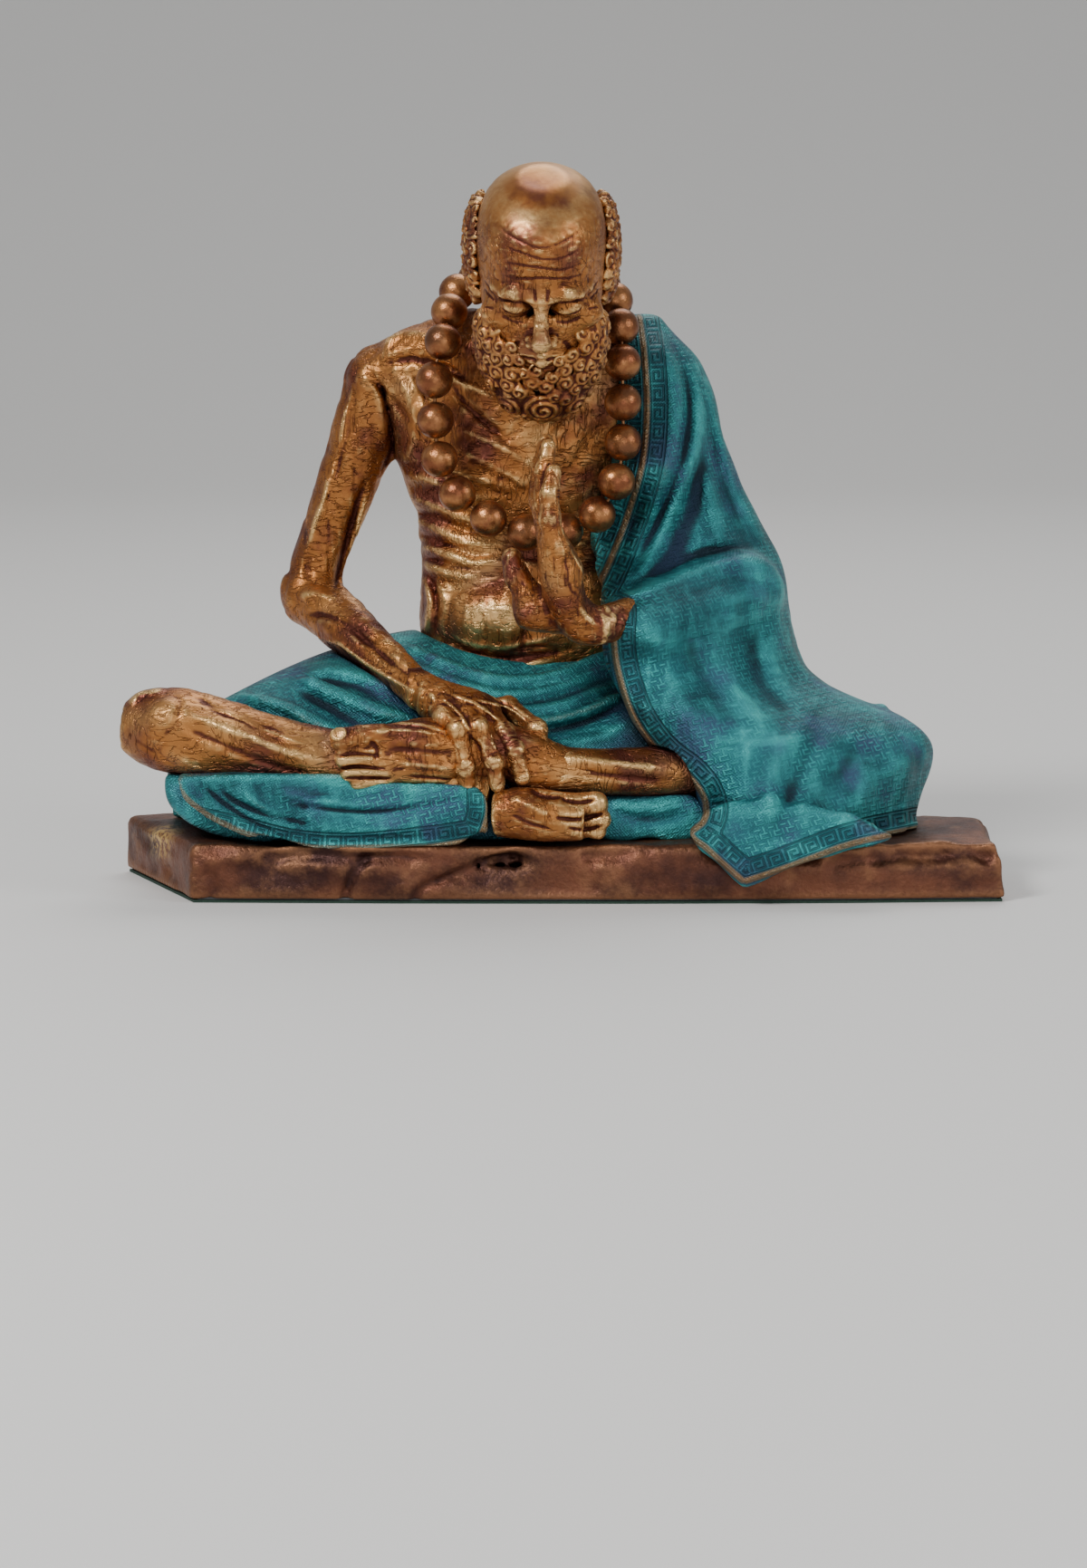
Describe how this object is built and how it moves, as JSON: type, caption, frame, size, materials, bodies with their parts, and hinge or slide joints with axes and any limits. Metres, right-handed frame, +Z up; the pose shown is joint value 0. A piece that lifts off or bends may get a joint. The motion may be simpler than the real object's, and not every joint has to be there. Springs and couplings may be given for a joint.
{
  "type": "okimono figure",
  "caption": "Seated elder in a draped shawl with a string of large beads, one hand raised, on a flat rock plinth; a patinated hollow bronze ornament.",
  "frame": {"origin": "middle of the plinth's length and depth, on the underside of the felt", "axes": "+X to the viewer's right, along the plinth; +Y away from the viewer; +Z up"},
  "size_m": [0.33, 0.1363, 0.2709],
  "materials": {
    "bronze_skin": "golden brown patina, satin",
    "bronze_hair": "brown patina, chased curls",
    "bead_bronze": "red-brown patina, polished",
    "teal_patina": "blue-green patina over chased cloth pattern",
    "plinth_bronze": "dark red-brown patina, rock texture",
    "steel": "plain",
    "felt": "pressed felt"
  },
  "bodies": {
    "root": {"rock_plinth": "plinth_bronze", "bottom_plate": "steel", "plate_screws": "steel", "felt_sheet": "felt", "figure_bolts": "steel", "bolt_washers": "steel", "lower_robe": "teal_patina", "front_panel": "teal_patina", "shawl": "teal_patina", "torso": "bronze_skin", "neck": "bronze_skin", "head": "bronze_skin", "beard": "bronze_hair", "left_hair": "bronze_hair", "right_hair": "bronze_hair", "right_upper_arm": "bronze_skin", "right_forearm": "bronze_skin", "right_hand": "bronze_skin", "left_forearm": "bronze_skin", "left_hand": "bronze_skin", "right_leg": "bronze_skin", "right_foot": "bronze_skin", "left_leg": "bronze_skin", "left_foot": "bronze_skin", "necklace_wire": "steel", "bead_01": "bead_bronze", "bead_02": "bead_bronze", "bead_03": "bead_bronze", "bead_04": "bead_bronze", "bead_05": "bead_bronze", "bead_06": "bead_bronze", "bead_07": "bead_bronze", "bead_08": "bead_bronze", "bead_09": "bead_bronze", "bead_10": "bead_bronze", "bead_11": "bead_bronze", "bead_12": "bead_bronze", "bead_13": "bead_bronze", "bead_14": "bead_bronze", "bead_15": "bead_bronze", "bead_16": "bead_bronze", "bead_17": "bead_bronze", "bead_18": "bead_bronze", "bead_19": "bead_bronze", "bead_20": "bead_bronze", "bead_21": "bead_bronze", "bead_22": "bead_bronze"}
  },
  "joints": []
}
